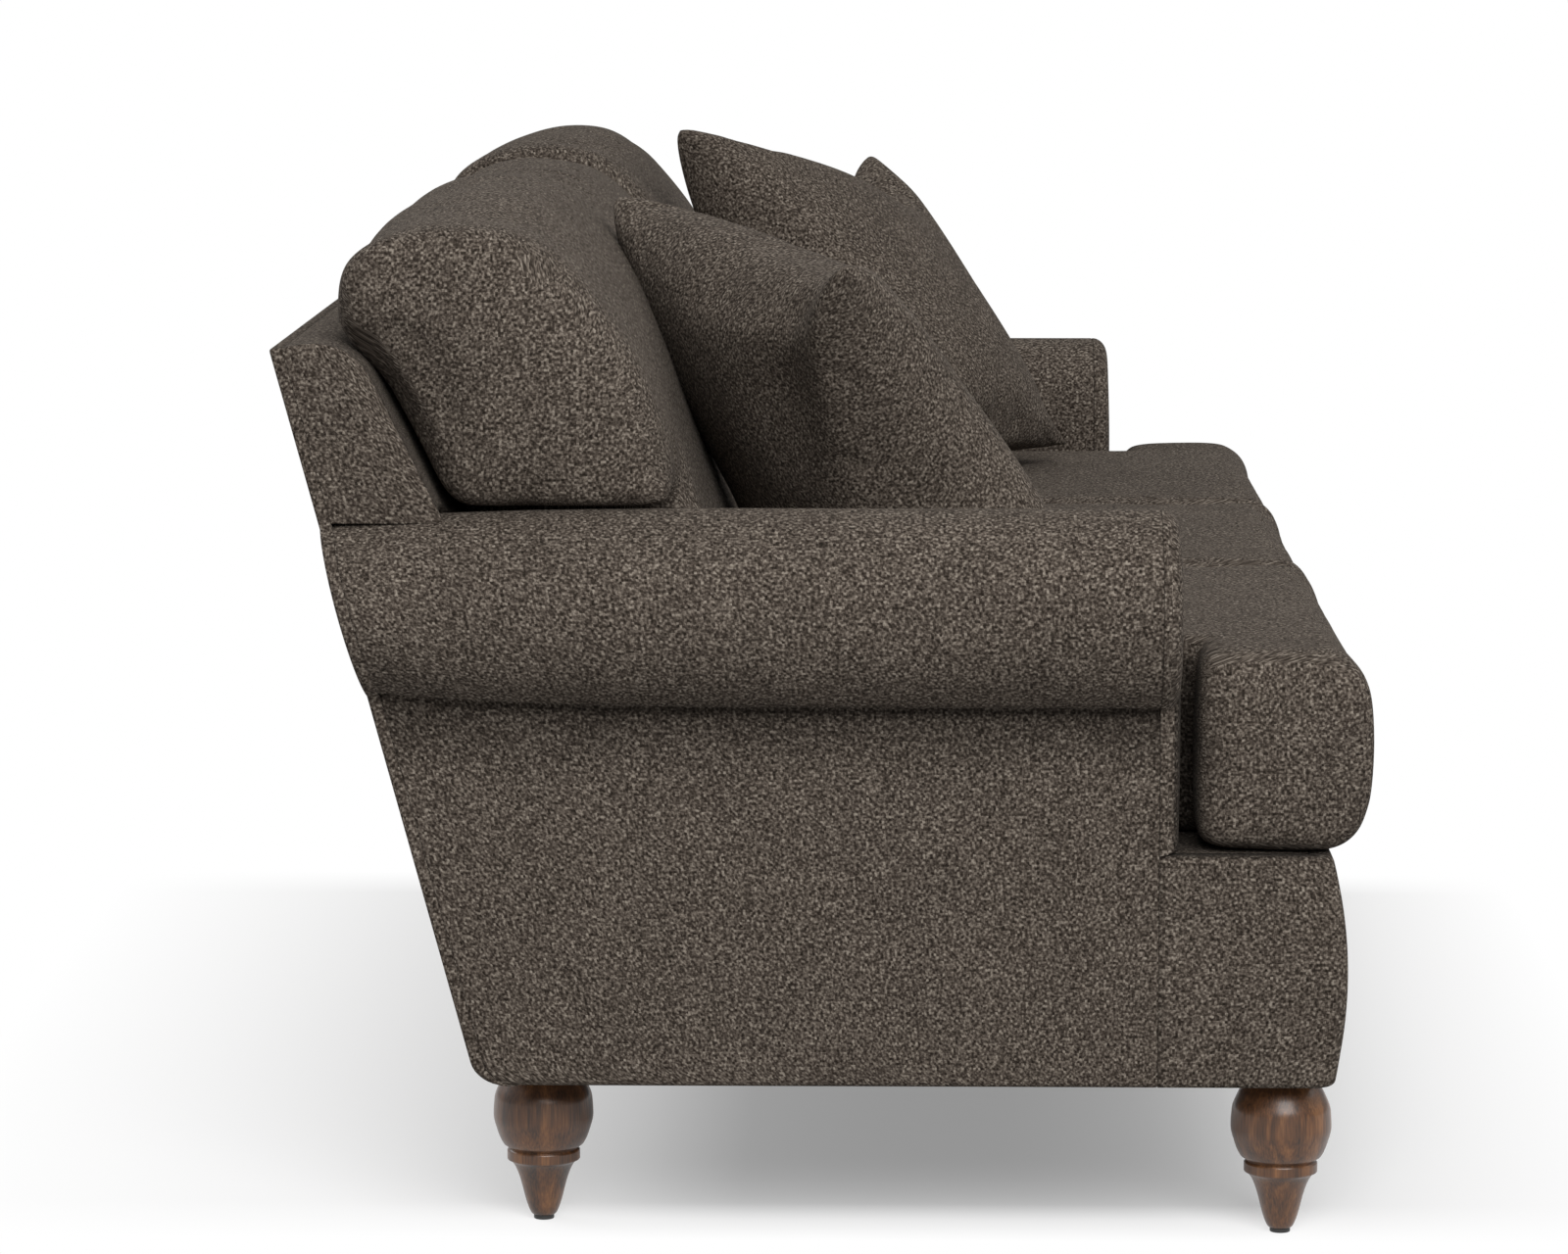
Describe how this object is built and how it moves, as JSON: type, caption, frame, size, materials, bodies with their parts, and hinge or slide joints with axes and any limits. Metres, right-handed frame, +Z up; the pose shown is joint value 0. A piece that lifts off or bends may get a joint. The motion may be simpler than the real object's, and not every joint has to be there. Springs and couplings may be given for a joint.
{
  "type": "english roll arm sofa",
  "caption": "Upholstered sofa with low rolled arms, a raked back, T-shaped loose seat and back cushions, throw pillows and turned feet.",
  "frame": {"origin": "on the floor, at the middle of the width and of the depth", "axes": "+X along the sofa towards the right-hand arm as seen by someone standing in front, +Y towards the back, +Z up"},
  "size_m": [2.1614, 0.996, 0.9529],
  "materials": {
    "hardwood": "unfinished, sawn",
    "plywood": "unfinished, sawn",
    "dust_cloth": "thin non-woven cloth, matte",
    "steel": "drawn wire",
    "webbing": "woven elastic",
    "felt": "pressed felt on burlap, matte",
    "tweed": "heathered tweed weave, matte",
    "walnut": "satin dark walnut stain",
    "nylon": "moulded"
  },
  "bodies": {
    "frame": {"front_rail": "hardwood", "rear_rail": "hardwood", "side_rail_left": "hardwood", "cross_rail_left": "hardwood", "side_rail_right": "hardwood", "cross_rail_right": "hardwood", "leg_plate_front_left": "plywood", "leg_plate_rear_left": "plywood", "leg_plate_front_right": "plywood", "leg_plate_rear_right": "plywood", "dust_cover": "dust_cloth", "back_post_left": "hardwood", "back_strut_left": "hardwood", "back_post_right": "hardwood", "back_strut_right": "hardwood", "back_top_rail": "hardwood", "seat_spring_1": "steel", "seat_spring_2": "steel", "seat_spring_3": "steel", "seat_spring_4": "steel", "seat_spring_5": "steel", "seat_spring_6": "steel", "seat_spring_7": "steel", "seat_spring_8": "steel", "back_strap_1": "webbing", "back_strap_2": "webbing", "back_strap_3": "webbing", "seat_deck": "felt", "arm_stump_left": "plywood", "arm_stump_right": "plywood", "arm_board_left": "hardwood", "arm_board_right": "hardwood", "arm_cover_left": "tweed", "arm_cover_right": "tweed", "arm_facing_left": "tweed", "arm_facing_right": "tweed", "inside_back_cover": "tweed", "outside_back": "tweed", "front_border": "tweed", "leg_front_left": "walnut", "hanger_bolt_front_left": "steel", "glide_front_left": "nylon", "leg_rear_left": "walnut", "hanger_bolt_rear_left": "steel", "glide_rear_left": "nylon", "leg_front_right": "walnut", "hanger_bolt_front_right": "steel", "glide_front_right": "nylon", "leg_rear_right": "walnut", "hanger_bolt_rear_right": "steel", "glide_rear_right": "nylon"},
    "seat_left": {"seat_cushion_left": "tweed"},
    "back_left": {"back_cushion_left": "tweed"},
    "seat_middle": {"seat_cushion_middle": "tweed"},
    "back_middle": {"back_cushion_middle": "tweed"},
    "seat_right": {"seat_cushion_right": "tweed"},
    "back_right": {"back_cushion_right": "tweed"},
    "pillow_left": {"pillow_left": "tweed"},
    "pillow_right": {"pillow_right": "tweed"}
  },
  "joints": [
    {"name": "seat_cushion_left_lift", "type": "slide", "parent": "frame", "child": "seat_left", "axis": [0, 0, 1], "range_m": [0, 0.15]},
    {"name": "seat_cushion_middle_lift", "type": "slide", "parent": "frame", "child": "seat_middle", "axis": [0, 0, 1], "range_m": [0, 0.15]},
    {"name": "seat_cushion_right_lift", "type": "slide", "parent": "frame", "child": "seat_right", "axis": [0, 0, 1], "range_m": [0, 0.15]},
    {"name": "back_cushion_left_lift", "type": "slide", "parent": "seat_left", "child": "back_left", "axis": [0, 0.4446, 0.8957], "range_m": [0, 0.15]},
    {"name": "back_cushion_middle_lift", "type": "slide", "parent": "seat_middle", "child": "back_middle", "axis": [0, 0.4446, 0.8957], "range_m": [0, 0.15]},
    {"name": "back_cushion_right_lift", "type": "slide", "parent": "seat_right", "child": "back_right", "axis": [0, 0.4446, 0.8957], "range_m": [0, 0.15]},
    {"name": "pillow_left_lift", "type": "slide", "parent": "back_left", "child": "pillow_left", "axis": [0, 0, 1], "range_m": [0, 0.2]},
    {"name": "pillow_right_lift", "type": "slide", "parent": "back_right", "child": "pillow_right", "axis": [0, 0, 1], "range_m": [0, 0.2]}
  ]
}
